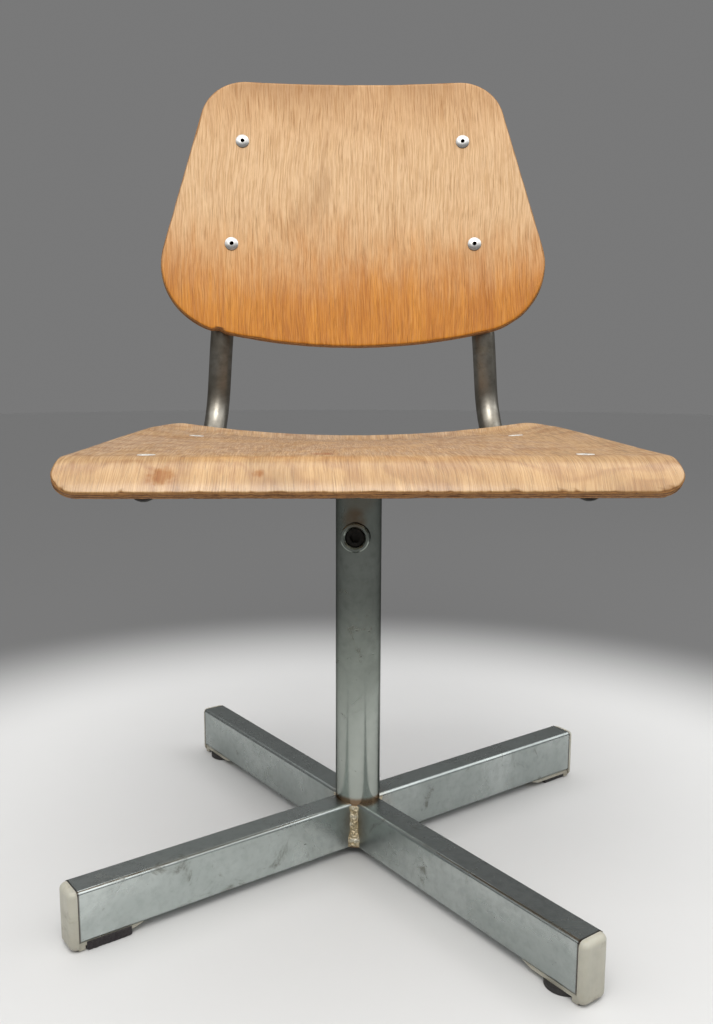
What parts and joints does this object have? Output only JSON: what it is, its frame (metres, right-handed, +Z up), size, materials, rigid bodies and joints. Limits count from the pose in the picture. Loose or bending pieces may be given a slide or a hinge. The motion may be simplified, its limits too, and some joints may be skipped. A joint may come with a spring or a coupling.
{
  "type": "drafting chair",
  "caption": "Low swivel chair with a dished plywood seat and hollow plywood back on bent steel tubes, a clamped height-adjusting column and a cross-shaped base.",
  "frame": {"origin": "on the floor, on the column's axis", "axes": "+Z up, the sitter faces -Y, +X to the sitter's left"},
  "size_m": [0.442, 0.4538, 0.683],
  "materials": {
    "plated_steel": "dull zinc-plated, blue-grey, with worn bright edges and small pits",
    "column_steel": "dull plated, grey-green",
    "frame_steel": "plated tube, brownish and dulled",
    "plain_steel": "bright drawn steel",
    "spring_steel": "phosphated",
    "black_steel": "blackened",
    "weld": "rippled weld bead, golden-brown tint",
    "brass": "plain",
    "ivory_plastic": "aged ivory polyethylene",
    "black_plastic": "moulded",
    "black_rubber": "dull",
    "felt": "dark brown felt",
    "seat_ply": "worn clear-lacquered plywood",
    "back_ply": "clear-lacquered plywood",
    "rivet_steel": "bright"
  },
  "bodies": {
    "base": {"column_tube": "column_steel", "arm_welds": "weld", "clamp_boss": "column_steel", "guide_sleeve": "plain_steel", "arm_front_right": "plated_steel", "arm_rear_right": "plated_steel", "arm_rear_left": "plated_steel", "arm_front_left": "plated_steel", "end_cap_front_right": "ivory_plastic", "end_cap_rear_right": "ivory_plastic", "end_cap_rear_left": "ivory_plastic", "end_cap_front_left": "ivory_plastic", "floor_pad_front_right": "black_rubber", "floor_pad_rear_right": "black_rubber", "floor_pad_rear_left": "black_rubber", "floor_pad_front_left": "felt"},
    "post": {"post_tube": "plain_steel", "post_foot_bush": "black_plastic", "spindle_bush_upper": "black_plastic", "spindle_bush_lower": "black_plastic"},
    "seat": {"swivel_spindle": "plain_steel", "spindle_circlip": "spring_steel", "thrust_washer": "plain_steel", "swivel_plate": "frame_steel", "cross_bar_front": "frame_steel", "cross_bar_rear": "frame_steel", "frame_welds": "weld", "side_tube_left": "frame_steel", "side_tube_right": "frame_steel", "tube_plug_front_left": "black_plastic", "tube_plug_front_right": "black_plastic", "tube_plug_top_left": "black_plastic", "tube_plug_top_right": "black_plastic", "seat_panel": "seat_ply", "back_panel": "back_ply", "seat_rivets": "rivet_steel", "back_rivets": "rivet_steel"},
    "clamp_pad": {"clamp_pad": "brass"},
    "clamp_screw": {"clamp_screw": "black_steel"}
  },
  "joints": [
    {"name": "height_slide", "type": "slide", "parent": "base", "child": "post", "axis": [0, 0, 1], "range_m": [0, 0.1]},
    {"name": "seat_swivel", "type": "hinge", "parent": "post", "child": "seat", "pos_m": [0, 0, 0.3158], "axis": [0, 0, 1], "continuous": true},
    {"name": "clamp_pad_travel", "type": "slide", "parent": "base", "child": "clamp_pad", "axis": [-0.1797, -0.9837, 0], "range_m": [0, 0.003]},
    {"name": "clamp_screw_turn", "type": "hinge", "parent": "clamp_pad", "child": "clamp_screw", "pos_m": [-0.00341, -0.01869, 0.277], "axis": [-0.1797, -0.9837, 0], "range_deg": [0, 540]}
  ],
  "couplings": [
    {"joint": "clamp_pad_travel", "follows": "clamp_screw_turn", "m_per_rad": 0.00031831}
  ]
}
